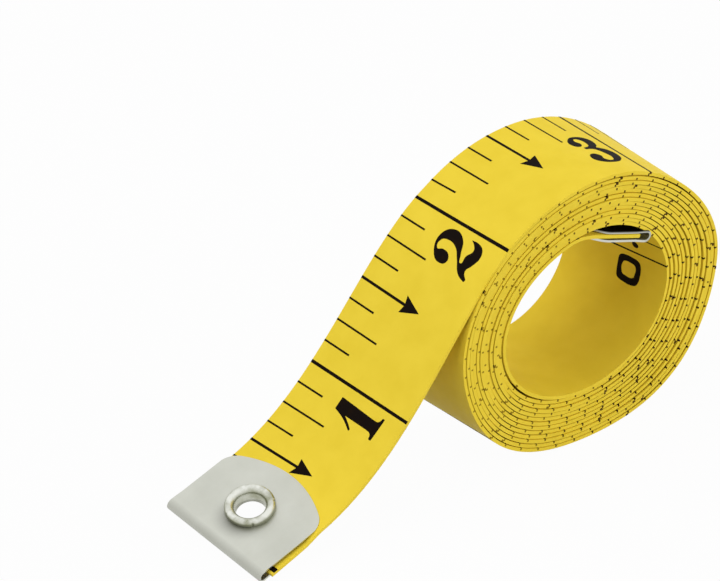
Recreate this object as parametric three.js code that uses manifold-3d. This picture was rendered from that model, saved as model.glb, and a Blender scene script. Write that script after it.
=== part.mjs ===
// Soft sewing tape measure: a coated cloth tape wound into an oval roll that stands on its rim.
// The free end leaves the top of the roll and comes down to the table, where a folded metal tip
// with an eyelet closes it. A second folded tip closes the inner end, inside the roll's bore.
// Millimetres, +Z up. The roll's axis is Y, and the origin is on the table under the roll's middle.

import * as THREE from "three";
import { mergeVertices } from "three/addons/utils/BufferGeometryUtils.js";
import ManifoldModule from "manifold-3d";

// Tape and roll. The tape is drawn at half its real 0.45, so that its turns stay clear of each other.
const TAPE_WIDTH = 18;
const TAPE_THICKNESS = 0.22;
const TURNS = 13;
const TURN_PITCH = 0.64;
const STEPS_PER_TURN = 36;
const ROLL_HALF_LENGTH = 22.5;
const ROLL_HALF_HEIGHT = 19.9;
const FOOT_FLATTENING = 0.5;
const FOOT_SPREAD_DEG = 15;
const LEAVING_ANGLE_DEG = 148;

// Leader: the free stretch between the roll and the front tip.
const TIP_REACH = 33.1;
const TIP_SIDESTEP = 0.8;
const TIP_SLOPE_DEG = 14;
const TIP_TWIST_DEG = 8.5;
const TIP_YAW_DEG = 5;
const LEADER_FULLNESS_AT_ROLL = 0.34;
const LEADER_FULLNESS_AT_TIP = 0.26;
const LEADER_STEPS = 24;

// Folded metal tips.
const SHEET = 0.35;
const TIP_INSET = 0.7;
const TIP_SIDE = 10.9;
const TIP_BOW = 3;
const TIP_CORNER = 1.5;
const FOLD_VOID = 1.6;
const FOLD_SWELL = 0.12;
const FOLD_TAPER = 2.2;
const TAPE_PAST_TIP = 0.5;

// Eyelet: a hollow rivet, rolled over above and flat below.
const EYELET_SETBACK = 6.8;
const EYELET_BORE_RADIUS = 1.95;
const EYELET_WALL = 0.25;
const EYELET_ROLL_WIDTH = 1.4;
const EYELET_ROLL_HEIGHT = 0.8;
const EYELET_FOOT_WIDTH = 1.1;
const EYELET_FOOT_HEIGHT = 0.25;
const EYELET_SIDES = 40;

// Inner end of the tape, which crosses the top of the bore as a chord.
const TAIL_MIDDLE_ANGLE_DEG = 196;
const TAIL_ROOM = 0.4;
const TAIL_STEPS = 10;

// Clearances: between a tip or an eyelet and what it holds, and across each line where the tape bends.
const SEAT_GAP = 0.3;
const BEND_GAP = 0.3;

const wasm = await ManifoldModule();
wasm.setup();

const HALF_WIDTH = TAPE_WIDTH / 2;
const HALF_THICKNESS = TAPE_THICKNESS / 2;
const ACROSS = new THREE.Vector3(0, 1, 0);
const radians = THREE.MathUtils.degToRad;

const TAPE = new THREE.MeshStandardMaterial({ color: 0xf0d846, roughness: 0.5, metalness: 0 });
const TIP_STEEL = new THREE.MeshStandardMaterial({ color: 0xcdd0c6, roughness: 0.35, metalness: 0.9 });
const EYELET_PLATE = new THREE.MeshStandardMaterial({ color: 0xe2e4de, roughness: 0.18, metalness: 1 });

function solidOf(geometry) {
  const bare = geometry.clone();
  bare.deleteAttribute("normal");
  bare.deleteAttribute("uv");
  const merged = mergeVertices(bare);
  const vertProperties = Float32Array.from(merged.attributes.position.array);
  const triVerts = Uint32Array.from(merged.index.array);
  return new wasm.Manifold(new wasm.Mesh({ numProp: 3, vertProperties, triVerts }));
}

function geometryOf(solid) {
  const mesh = solid.getMesh();
  const geometry = new THREE.BufferGeometry();
  geometry.setAttribute("position", new THREE.BufferAttribute(Float32Array.from(mesh.vertProperties), 3));
  geometry.setIndex(new THREE.BufferAttribute(Uint32Array.from(mesh.triVerts), 1));
  geometry.computeVertexNormals();
  return geometry;
}

function addPiece(group, name, geometry, material) {
  const piece = new THREE.Mesh(geometry, material);
  piece.name = name;
  group.add(piece);
  return piece;
}

// A station of the tape: its centre, the direction along the scale, the direction across the tape
// and the direction out of its printed face. The lean is where the far edge points before it is squared.
function station(centre, along, lean = ACROSS) {
  const across = lean.clone().addScaledVector(along, -lean.dot(along)).normalize();
  const normal = new THREE.Vector3().crossVectors(along, across);
  return { centre, along, across, normal };
}

function tapeCorner({ centre, across, normal }, side, face) {
  return centre.clone().addScaledVector(across, side * HALF_WIDTH).addScaledVector(normal, face * HALF_THICKNESS);
}

// One unbroken flat strip through its stations, closed at both ends.
function tapeStrip(stations) {
  const positions = [];
  const index = [];
  for (const at of stations) {
    positions.push(...tapeCorner(at, 1, 1), ...tapeCorner(at, -1, 1));
    positions.push(...tapeCorner(at, -1, -1), ...tapeCorner(at, 1, -1));
  }
  const last = 4 * (stations.length - 1);
  index.push(0, 2, 1, 0, 3, 2);
  index.push(last, last + 1, last + 2, last, last + 2, last + 3);
  for (let ring = 0; ring < last; ring += 4) {
    for (let side = 0; side < 4; side += 1) {
      const a = ring + side;
      const b = ring + (side + 1) % 4;
      index.push(a, b, b + 4, a, b + 4, a + 4);
    }
  }
  const geometry = new THREE.BufferGeometry();
  geometry.setAttribute("position", new THREE.Float32BufferAttribute(positions, 3));
  geometry.setIndex(index);
  geometry.computeVertexNormals();
  return geometry;
}

// The winding. Angles run from the roll's foot by way of its left side, top and right side, which is
// the way the tape goes in. A turn keeps its size over the foot and shrinks by one pitch over the rest.
const footSpread = radians(FOOT_SPREAD_DEG);
const fullTurn = 2 * Math.PI;
const leavingAngle = radians(LEAVING_ANGLE_DEG);
const innerAngle = leavingAngle + TURNS * fullTurn;

function turnsFromFoot(angle) {
  const whole = Math.floor(angle / fullTurn);
  const share = (angle - whole * fullTurn - footSpread) / (fullTurn - 2 * footSpread);
  return whole + THREE.MathUtils.clamp(share, 0, 1);
}

function inset(angle) {
  return TURN_PITCH * (turnsFromFoot(angle) - turnsFromFoot(leavingAngle));
}

const footHalfHeight = ROLL_HALF_HEIGHT - inset(fullTurn);
const rollCentreZ = footHalfHeight - FOOT_FLATTENING + HALF_THICKNESS;

function windingPoint(angle) {
  const halfLength = ROLL_HALF_LENGTH - inset(angle);
  const halfHeight = ROLL_HALF_HEIGHT - inset(angle);
  const drop = Math.min(halfHeight * Math.cos(angle), halfHeight - FOOT_FLATTENING);
  return new THREE.Vector3(-halfLength * Math.sin(angle), 0, rollCentreZ - drop);
}

function windingStation(angle) {
  const nudge = 1e-4;
  const along = windingPoint(angle + nudge).sub(windingPoint(angle - nudge)).normalize();
  return station(windingPoint(angle), along);
}

function windingStations() {
  const steps = Math.round(TURNS * STEPS_PER_TURN);
  return Array.from({ length: steps + 1 }, (_, step) => {
    return windingStation(THREE.MathUtils.lerp(leavingAngle, innerAngle, step / steps));
  });
}

// Least gap between one turn's back and the printed face of the next turn in.
function leastTurnGap(stations) {
  const reach = 3;
  const face = stations.map((at) => tapeCorner(at, 0, 1));
  let least = Infinity;
  for (let i = 1; i + STEPS_PER_TURN - reach < face.length; i += 1) {
    const back = [tapeCorner(stations[i - 1], 0, -1), tapeCorner(stations[i], 0, -1)];
    const middle = back[0].clone().lerp(back[1], 0.5);
    const lastStep = Math.min(i + STEPS_PER_TURN + reach, face.length - 1);
    for (let j = i + STEPS_PER_TURN - reach; j < lastStep; j += 1) {
      const chord = new THREE.Line3(face[j], face[j + 1]);
      for (const point of [...back, middle]) {
        const nearest = chord.closestPointToPoint(point, true, new THREE.Vector3());
        least = Math.min(least, nearest.distanceTo(point));
      }
    }
  }
  return least;
}

// A metal tip in its own place: the fold at the origin, the tape leaving along +X and its middle
// plane at Z = 0. The far side is flush with the tape and the near side is set in. The fold stands a
// little fatter than the leaves, which close onto the tape over the taper behind it.
const innerHalfHeight = HALF_THICKNESS + SEAT_GAP;
const tipHalfHeight = innerHalfHeight + SHEET;
const foldHalfHeight = tipHalfHeight + FOLD_SWELL;
const taperEnd = foldHalfHeight + FOLD_TAPER;
const tipLength = TIP_SIDE + TIP_BOW;
const leafMiddle = TIP_INSET / 2;
const eyeletHoleRadius = EYELET_BORE_RADIUS + EYELET_WALL + SEAT_GAP;

function foldedSheet() {
  const profile = new THREE.Shape();
  profile.moveTo(tipLength, tipHalfHeight);
  profile.lineTo(taperEnd, tipHalfHeight);
  profile.absarc(foldHalfHeight, 0, foldHalfHeight, Math.PI / 2, 1.5 * Math.PI, false);
  profile.lineTo(taperEnd, -tipHalfHeight);
  profile.lineTo(tipLength, -tipHalfHeight);
  profile.lineTo(tipLength, -innerHalfHeight);
  profile.lineTo(taperEnd, -innerHalfHeight);
  profile.absarc(foldHalfHeight, 0, foldHalfHeight - SHEET, 1.5 * Math.PI, Math.PI / 2, true);
  profile.lineTo(taperEnd, innerHalfHeight);
  profile.lineTo(tipLength, innerHalfHeight);
  profile.closePath();
  const sheet = new THREE.ExtrudeGeometry(profile, {
    depth: TAPE_WIDTH - TIP_INSET, bevelEnabled: false, curveSegments: 10,
  });
  return sheet.rotateX(Math.PI / 2).translate(0, HALF_WIDTH, 0);
}

// Plan of both leaves: straight sides, a bowed end and rounded corners that meet the bow smoothly.
function leafPlan(holeRadius) {
  const near = TIP_INSET - HALF_WIDTH;
  const far = HALF_WIDTH;
  const half = (far - near) / 2;
  const bowRadius = (half * half + TIP_BOW * TIP_BOW) / (2 * TIP_BOW);
  const bowCentreX = tipLength - bowRadius;
  const bowAngle = Math.asin((half - TIP_CORNER) / bowRadius);
  const bowStartX = bowCentreX + bowRadius * Math.cos(bowAngle);
  const cornerX = bowStartX - TIP_CORNER * Math.tan(bowAngle);
  const plan = new THREE.Shape();
  plan.moveTo(-SHEET, near);
  plan.lineTo(cornerX - TIP_CORNER, near);
  plan.quadraticCurveTo(cornerX, near, bowStartX, near + TIP_CORNER);
  plan.absarc(bowCentreX, leafMiddle, bowRadius, -bowAngle, bowAngle, false);
  plan.quadraticCurveTo(cornerX, far, cornerX - TIP_CORNER, far);
  plan.lineTo(-SHEET, far);
  plan.closePath();
  if (holeRadius > 0) {
    plan.holes.push(new THREE.Path().absarc(EYELET_SETBACK, leafMiddle, holeRadius, 0, fullTurn, true));
  }
  const depth = 2 * (foldHalfHeight + SHEET);
  const block = new THREE.ExtrudeGeometry(plan, { depth, bevelEnabled: false, curveSegments: 14 });
  return block.translate(0, 0, -depth / 2);
}

function foldedTip(holeRadius) {
  return geometryOf(solidOf(foldedSheet()).intersect(solidOf(leafPlan(holeRadius))));
}

function eyelet() {
  const barrelRadius = EYELET_BORE_RADIUS + EYELET_WALL;
  const seat = tipHalfHeight + SEAT_GAP;
  const foot = -seat - EYELET_FOOT_HEIGHT;
  const rollHalf = EYELET_ROLL_WIDTH / 2;
  const profile = new THREE.Path();
  profile.moveTo(EYELET_BORE_RADIUS, foot);
  profile.lineTo(barrelRadius + EYELET_FOOT_WIDTH, foot);
  profile.lineTo(barrelRadius + EYELET_FOOT_WIDTH, -seat);
  profile.lineTo(barrelRadius, -seat);
  profile.lineTo(barrelRadius, seat);
  profile.lineTo(EYELET_BORE_RADIUS + EYELET_ROLL_WIDTH, seat);
  profile.absellipse(EYELET_BORE_RADIUS + rollHalf, seat, rollHalf, EYELET_ROLL_HEIGHT, 0, Math.PI, false, 0);
  profile.lineTo(EYELET_BORE_RADIUS, foot);
  const ring = new THREE.LatheGeometry(profile.getPoints(10), EYELET_SIDES);
  return geometryOf(solidOf(ring.rotateX(Math.PI / 2)));
}

// The end of the tape inside the front tip, which stops short of the fold.
const tapeStartEnd = tipLength + TAPE_PAST_TIP;

function tapeStart() {
  const plan = new THREE.Shape();
  plan.moveTo(FOLD_VOID, -HALF_WIDTH);
  plan.lineTo(tapeStartEnd, -HALF_WIDTH);
  plan.lineTo(tapeStartEnd, HALF_WIDTH);
  plan.lineTo(FOLD_VOID, HALF_WIDTH);
  plan.closePath();
  plan.holes.push(new THREE.Path().absarc(EYELET_SETBACK, leafMiddle, eyeletHoleRadius, 0, fullTurn, true));
  const strip = new THREE.ExtrudeGeometry(plan, { depth: TAPE_THICKNESS, bevelEnabled: false, curveSegments: 14 });
  return strip.translate(0, 0, -HALF_THICKNESS);
}

// Where the front tip lies: its slope, twist and yaw turn it, and its near front corner touches the table.
const tipSlope = radians(TIP_SLOPE_DEG);
const tipTwist = radians(TIP_TWIST_DEG);
const front = new THREE.Group();
front.rotation.set(tipTwist, -tipSlope, radians(TIP_YAW_DEG), "ZYX");

function restingFoldZ() {
  const upright = Math.cos(tipSlope) * Math.cos(tipTwist);
  const foldDrop = foldHalfHeight * (Math.hypot(Math.sin(tipSlope), upright) - Math.sin(tipSlope));
  const cornerDrop = (HALF_WIDTH - TIP_INSET) * Math.cos(tipSlope) * Math.sin(tipTwist);
  return foldDrop + cornerDrop;
}

front.position.set(-ROLL_HALF_LENGTH - TIP_REACH, -TIP_SIDESTEP, restingFoldZ());
front.updateMatrixWorld(true);

addPiece(front, "front_tip", foldedTip(eyeletHoleRadius), TIP_STEEL);
addPiece(front, "tape_start", tapeStart(), TAPE);
addPiece(front, "eyelet", eyelet(), EYELET_PLATE).position.set(EYELET_SETBACK, leafMiddle, 0);

// The leader leaves the tip in its direction and meets the winding on its tangent.
function leaderStations() {
  const winding = windingStation(leavingAngle);
  const tipEnd = front.localToWorld(new THREE.Vector3(tapeStartEnd + BEND_GAP, 0, 0));
  const rollEnd = winding.centre.clone().addScaledVector(winding.along, -BEND_GAP);
  const tipAlong = new THREE.Vector3(1, 0, 0).transformDirection(front.matrixWorld);
  const tipAcross = ACROSS.clone().transformDirection(front.matrixWorld);
  const distance = tipEnd.distanceTo(rollEnd);
  const curve = new THREE.CubicBezierCurve3(
    tipEnd,
    tipEnd.clone().addScaledVector(tipAlong, LEADER_FULLNESS_AT_TIP * distance),
    rollEnd.clone().addScaledVector(winding.along, -LEADER_FULLNESS_AT_ROLL * distance),
    rollEnd,
  );
  return Array.from({ length: LEADER_STEPS + 1 }, (_, step) => {
    const share = step / LEADER_STEPS;
    return station(curve.getPointAt(share), curve.getTangentAt(share), tipAcross.clone().lerp(ACROSS, share));
  });
}

// The rear tip is a chord of the bore. It lies as close under the turn above it as its corners allow.
function tailChord() {
  const angle = radians(TAIL_MIDDLE_ANGLE_DEG);
  const above = inset(innerAngle - fullTurn + angle - leavingAngle + footSpread);
  const halfLength = ROLL_HALF_LENGTH - above;
  const halfHeight = ROLL_HALF_HEIGHT - above;
  const touch = new THREE.Vector2(-halfLength * Math.sin(angle), -halfHeight * Math.cos(angle));
  const out = new THREE.Vector2(touch.x / halfLength ** 2, touch.y / halfHeight ** 2).normalize();
  const along = new THREE.Vector2(out.y, -out.x);
  const ovalSlope = (p, q) => p.x * q.x / halfLength ** 2 + p.y * q.y / halfHeight ** 2;
  const roomAtEnd = (offset) => {
    const corner = touch.clone().addScaledVector(along, offset);
    const b = ovalSlope(corner, out) / ovalSlope(out, out);
    const c = (ovalSlope(corner, corner) - 1) / ovalSlope(out, out);
    return Math.sqrt(b * b - c) - b;
  };
  const room = Math.min(roomAtEnd(-tipLength / 2), roomAtEnd(tipLength / 2));
  const depth = TAIL_ROOM + HALF_THICKNESS - room + foldHalfHeight;
  const fold = touch.addScaledVector(out, -depth).addScaledVector(along, tipLength / 2);
  return { foldX: fold.x, foldZ: rollCentreZ + fold.y, slope: Math.atan2(along.y, along.x) };
}

const chord = tailChord();
const rear = new THREE.Group();
rear.position.set(chord.foldX, 0, chord.foldZ);
rear.rotation.y = Math.PI - chord.slope;
rear.updateMatrixWorld(true);
addPiece(rear, "rear_tip", foldedTip(0), TIP_STEEL);

// The tail turns from the winding's tangent to the chord, then runs straight into the rear tip.
function tailStations() {
  const winding = windingStation(innerAngle);
  const start = winding.centre.clone().addScaledVector(winding.along, BEND_GAP);
  const tipMouth = rear.localToWorld(new THREE.Vector3(tapeStartEnd, 0, 0));
  const tapeEnd = rear.localToWorld(new THREE.Vector3(FOLD_VOID, 0, 0));
  const chordAlong = tapeEnd.clone().sub(tipMouth).normalize();
  const handle = start.distanceTo(tipMouth) / 3;
  const bend = new THREE.CubicBezierCurve3(
    start,
    start.clone().addScaledVector(winding.along, handle),
    tipMouth.clone().addScaledVector(chordAlong, -handle),
    tipMouth,
  );
  const stations = Array.from({ length: TAIL_STEPS + 1 }, (_, step) => {
    const share = step / TAIL_STEPS;
    return station(bend.getPointAt(share), bend.getTangentAt(share));
  });
  stations.push(station(tapeEnd, chordAlong));
  return stations;
}

const roll = new THREE.Group();
const coilStations = windingStations();
addPiece(roll, "tape_coil", tapeStrip(coilStations), TAPE);
addPiece(roll, "tape_leader", tapeStrip(leaderStations()), TAPE);
addPiece(roll, "tape_tail", tapeStrip(tailStations()), TAPE);
console.log(`tape_coil: ${TURNS} turns, least gap ${leastTurnGap(coilStations).toFixed(3)} mm`);

const tapeMeasure = new THREE.Group();
tapeMeasure.name = "tape_measure";
tapeMeasure.add(roll, front, rear);

export default tapeMeasure;
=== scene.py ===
from math import atan2, ceil, cos, hypot, pi, radians, sin, sqrt

import bmesh
import bpy
from mathutils import Euler, Matrix, Vector


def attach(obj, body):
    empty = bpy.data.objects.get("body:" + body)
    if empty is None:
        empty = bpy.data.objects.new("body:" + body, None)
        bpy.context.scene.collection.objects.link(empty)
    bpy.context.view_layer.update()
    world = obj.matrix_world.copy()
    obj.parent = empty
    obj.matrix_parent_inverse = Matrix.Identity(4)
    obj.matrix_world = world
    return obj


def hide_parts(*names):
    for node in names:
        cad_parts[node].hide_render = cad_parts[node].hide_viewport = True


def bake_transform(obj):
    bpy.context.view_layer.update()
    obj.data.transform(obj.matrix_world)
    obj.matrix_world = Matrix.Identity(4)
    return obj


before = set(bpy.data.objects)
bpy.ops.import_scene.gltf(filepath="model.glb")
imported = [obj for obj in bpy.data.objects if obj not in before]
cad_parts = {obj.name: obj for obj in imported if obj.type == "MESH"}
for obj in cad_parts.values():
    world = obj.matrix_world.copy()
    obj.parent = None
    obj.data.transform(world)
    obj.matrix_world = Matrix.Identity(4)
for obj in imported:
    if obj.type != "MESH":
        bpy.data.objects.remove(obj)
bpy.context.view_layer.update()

# Camera: a long lens looks down on the near edge of the roll from the side
# of the free end, so that the tip lies at the lower left of the picture.
MM = 0.001
LENS_MM = 150.0
SENSOR_WIDTH_MM = 36.0
CAMERA_AIM = Vector((-31.74, 0.0, 30.17)) * MM
CAMERA_DISTANCE = 376.72 * MM
CAMERA_AZIMUTH = radians(-37.744)
CAMERA_ELEVATION = radians(31.805)

scene = bpy.context.scene
scene.view_settings.view_transform = "Standard"
lens = bpy.data.cameras.new("long_lens")
lens.lens = LENS_MM
lens.sensor_fit = "HORIZONTAL"
lens.sensor_width = SENSOR_WIDTH_MM
lens.clip_start = 0.01
lens.clip_end = 10.0
camera = bpy.data.objects.new("camera", lens)
camera.rotation_euler = Euler((pi / 2 - CAMERA_ELEVATION, 0.0, CAMERA_AZIMUTH))
back = camera.rotation_euler.to_matrix() @ Vector((0.0, 0.0, 1.0))
camera.location = CAMERA_AIM + back * CAMERA_DISTANCE
scene.collection.objects.link(camera)
scene.camera = camera

# The way the tape lies, in mm: one strip of coated cloth, 18 mm wide, starts in
# the front tip, climbs to the roll as a slack leader, goes round the roll
# thirteen times from the outside in, and ends in the rear tip across the bore.
TAPE_WIDTH = 18.0
TAPE_THICKNESS = 0.49
ACROSS = Vector((0.0, 1.0, 0.0))

TIP_FOLD = Vector((-55.6, -0.8, 1.848))
TIP_SLOPE = radians(14.0)
TIP_TWIST = radians(8.5)
TIP_YAW = radians(5.0)
TIP_HOLD = 10.5
HELD_STEP = 0.5
TAPE_SWING = 0.0245
TAPE_RISE = -0.0062
TAPE_UNTWIST, UNTWIST_FROM = 0.35, 7.0
CUT_END = 1.4
ZERO_LINE = 2.84
LEADER_PULL_AT_TIP = 0.3836
LEADER_PULL_AT_ROLL = 0.2839
LEADER_STEPS = 120
LEAVING_TURN = -0.0163
LEAVING_STEPS = 6
LEAVING_ANGLE, LEAVING_SPREAD = radians(147.7), radians(60.0)

TURNS = 13.03
INNERMOST_TURN = 13.0
STEPS_PER_TURN = 360
A_LITTLE_TURN = 0.001
ROLL_HALF_LENGTH = 22.263
ROLL_HALF_HEIGHT = 19.394
ROLL_RADIUS = 20.0
ROLL_CENTRE = 19.619
SLUMP = 1.26
SHOULDER = 0.675
FOOT_DROP = 0.31
FOOT_SHIFT, FOOT_SPREAD = 0.8, radians(90.0)
BORE_CENTRE = (-1.231, 19.467)
BORE_HALF_LENGTH = 13.995
BORE_HALF_HEIGHT = 11.863

TOP_SLACK, TOP_SLACK_ANGLE, TOP_SLACK_SPREAD = 0.1, radians(205.0), radians(65.0)
TOP_SLACK_FROM_TURN, TOP_SLACK_GROWS_OVER = 0.5, 0.4
INNER_SLACK, INNER_SLACK_ANGLE, INNER_SLACK_SPREAD = 0.42, radians(45.0), radians(60.0)
INNER_SLACK_FROM_TURN, INNER_SLACK_GROWS_OVER = 12.0, 2.0
REAR_ROOM, REAR_ROOM_ANGLE, REAR_ROOM_SPREAD = 0.26, radians(195.0), radians(55.0)
WOBBLE, WOBBLE_DRIFT, WOBBLE_FROM_TURN = 0.012, 2.4, 0.7
WANDER = 0.1
SLOW_WANDER, SLOW_WANDER_START = 1.7, 0.6
QUICK_WANDER, QUICK_WANDER_SHARE = 4.9, 0.6
INNER_LEAN = 0.125
OUTER_LEAN_LEFT, OUTER_LEAN_RIGHT, OUTER_LEAN_UP = 0.115, 0.08, 0.012
OUTER_LEAN_FADE = 2.27

REAR_FOLD = Vector((9.45, 0.0, 27.37))
REAR_SLOPE = radians(19.0)
REAR_MOUTH = 10.3
REAR_CUT_END = 2.0
REAR_LIFT = 0.03
TAIL_PULL = 2.6
TAIL_STEPS = 40


def smooth(share):
    """A soft step from 0 to 1."""
    share = min(max(share, 0.0), 1.0)
    return share * share * (3.0 - 2.0 * share)


def swell(angle, middle, half_width):
    """A soft bump of height 1 at one place round the roll."""
    away = abs((angle - middle + pi) % (2 * pi) - pi)
    return smooth(1.0 - away / half_width)


def bezier(a, b, c, d, t):
    """A place on the curve from a to d that is pulled towards b and c."""
    u = 1.0 - t
    return a * u**3 + b * (3 * u * u * t) + c * (3 * u * t * t) + d * t**3


def round_roll(turn):
    """Angle from the foot over the left side, way outwards, and how deep this turn lies."""
    angle = LEAVING_ANGLE + 2 * pi * turn
    return angle, -sin(angle), -cos(angle), turn / INNERMOST_TURN


def lean_on_roll(turn):
    """How the tape leans per mm across: inner turns close in on the right, outer ones spread."""
    angle, x, z, depth = round_roll(turn)
    closing = INNER_LEAN * depth * max(0.0, x)
    loose = max(0.0, 1.0 - depth) ** OUTER_LEAN_FADE
    loose *= 1.0 - swell(angle, LEAVING_ANGLE, LEAVING_SPREAD)
    spreading = (OUTER_LEAN_LEFT if x < 0 else OUTER_LEAN_RIGHT) * loose
    return Vector((spreading * x - closing, 0.0, OUTER_LEAN_UP * loose * max(0.0, z)))


def across_roll(turn):
    return (ACROSS + lean_on_roll(turn)).normalized()


def on_roll(turn):
    """Middle of the tape after so many turns, between the roll's outline and the bore's."""
    angle, x, z, depth = round_roll(turn)
    bearing = atan2(z, x)
    squat = SLUMP * max(0.0, -sin(bearing)) * (1.0 - cos(4 * bearing)) / 2
    squat -= SHOULDER * 4 * (max(0.0, sin(bearing)) * max(0.0, cos(bearing))) ** 2
    fullness = 1.0 + squat / ROLL_RADIUS
    outer_x = ROLL_HALF_LENGTH * x * fullness
    outer_z = ROLL_CENTRE + (ROLL_HALF_HEIGHT * fullness + FOOT_DROP * max(0.0, -z) ** 2) * z
    inner_x = BORE_CENTRE[0] + BORE_HALF_LENGTH * x
    inner_z = BORE_CENTRE[1] + BORE_HALF_HEIGHT * z

    slack = TOP_SLACK * swell(angle, TOP_SLACK_ANGLE, TOP_SLACK_SPREAD)
    slack *= smooth((turn - TOP_SLACK_FROM_TURN) / TOP_SLACK_GROWS_OVER)
    slack *= 1.0 - depth
    ending = max(0.0, (turn - INNER_SLACK_FROM_TURN) / INNER_SLACK_GROWS_OVER)
    slack += INNER_SLACK * swell(angle, INNER_SLACK_ANGLE, INNER_SLACK_SPREAD) * ending
    slack += WOBBLE * sin(2 * angle + WOBBLE_DRIFT * turn) * smooth(turn - WOBBLE_FROM_TURN)
    slack -= REAR_ROOM * swell(angle, REAR_ROOM_ANGLE, REAR_ROOM_SPREAD) * depth**2

    wander = sin(SLOW_WANDER * turn + SLOW_WANDER_START)
    wander += QUICK_WANDER_SHARE * sin(QUICK_WANDER * turn)
    side = WANDER * wander * smooth(turn)
    side -= FOOT_SHIFT * swell(angle, 0.0, FOOT_SPREAD) * (1.0 - depth) ** 2
    return Vector((
        outer_x + (inner_x - outer_x) * depth - slack * x,
        side,
        outer_z + (inner_z - outer_z) * depth - slack * z,
    )) + lean_on_roll(turn) * TAPE_WIDTH / 2


tip_turn = (
    Matrix.Rotation(TIP_YAW, 3, "Z")
    @ Matrix.Rotation(-TIP_SLOPE, 3, "Y")
    @ Matrix.Rotation(TIP_TWIST, 3, "X")
)
tip_along = tip_turn @ Vector((1.0, 0.0, 0.0))
tip_across = tip_turn @ ACROSS

path = []
cut_end = TIP_FOLD + tip_along * CUT_END
tape_along = tip_turn @ Vector((1.0, TAPE_SWING, TAPE_RISE))
held_steps = ceil((TIP_HOLD - CUT_END) / HELD_STEP)
for step in range(held_steps):
    u = CUT_END + (TIP_HOLD - CUT_END) * step / held_steps
    untwist = TAPE_UNTWIST * smooth((u - UNTWIST_FROM) / (TIP_HOLD - UNTWIST_FROM))
    path.append((cut_end + tape_along * (u - CUT_END), tip_across.lerp(ACROSS, untwist)))

mouth = cut_end + tape_along * (TIP_HOLD - CUT_END)
leaving = on_roll(LEAVING_TURN)
leaving_along = (on_roll(LEAVING_TURN + A_LITTLE_TURN) - leaving).normalized()
span = (leaving - mouth).length
pull_down = mouth + tape_along.normalized() * (LEADER_PULL_AT_TIP * span)
pull_up = leaving - leaving_along * (LEADER_PULL_AT_ROLL * span)
for step in range(LEADER_STEPS):
    t = step / LEADER_STEPS
    untwist = 1.0 - (1.0 - TAPE_UNTWIST) * (1.0 - t * t)
    place = bezier(mouth, pull_down, pull_up, leaving, t)
    path.append((place, tip_across.lerp(ACROSS, untwist)))

for step in range(LEAVING_STEPS):
    turn = LEAVING_TURN * (1.0 - step / LEAVING_STEPS)
    path.append((on_roll(turn), ACROSS))

leaving_index = len(path)
roll_steps = round(TURNS * STEPS_PER_TURN)
for step in range(roll_steps):
    turn = TURNS * step / roll_steps
    path.append((on_roll(turn), across_roll(turn)))

tail_index = len(path)
tail_start = on_roll(TURNS)
tail_along = (tail_start - on_roll(TURNS - A_LITTLE_TURN)).normalized()
rear_along = Vector((cos(REAR_SLOPE), 0.0, -sin(REAR_SLOPE)))
rear_up = Vector((sin(REAR_SLOPE), 0.0, cos(REAR_SLOPE)))
rear_mouth = REAR_FOLD - rear_along * REAR_MOUTH + rear_up * REAR_LIFT
rear_end = REAR_FOLD - rear_along * REAR_CUT_END + rear_up * REAR_LIFT
rear_mouth.y = rear_end.y = tail_start.y
pull_in = tail_start + tail_along * TAIL_PULL
pull_out = rear_mouth - rear_along * TAIL_PULL
for step in range(TAIL_STEPS):
    place = bezier(tail_start, pull_in, pull_out, rear_mouth, step / TAIL_STEPS)
    path.append((place, ACROSS))
path.append((rear_mouth, ACROSS))
path.append((rear_end, ACROSS))

readings = [CUT_END - ZERO_LINE]
for (before, _), (after, _) in zip(path, path[1:]):
    readings.append(readings[-1] + (after - before).length)
reading_at_leaving = readings[leaving_index]
reading_at_tail = readings[tail_index]
reading_at_end = readings[-1]

way = bpy.data.meshes.new("tape_way")
way.from_pydata([p * MM for p, _ in path], [(i, i + 1) for i in range(len(path) - 1)], [])
across_of_way = way.attributes.new("across", "FLOAT_VECTOR", "POINT")
for i, (_, across) in enumerate(path):
    across_of_way.data[i].vector = across.normalized()
tape_way = bpy.data.objects.new("tape_way", way)
scene.collection.objects.link(tape_way)

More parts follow.
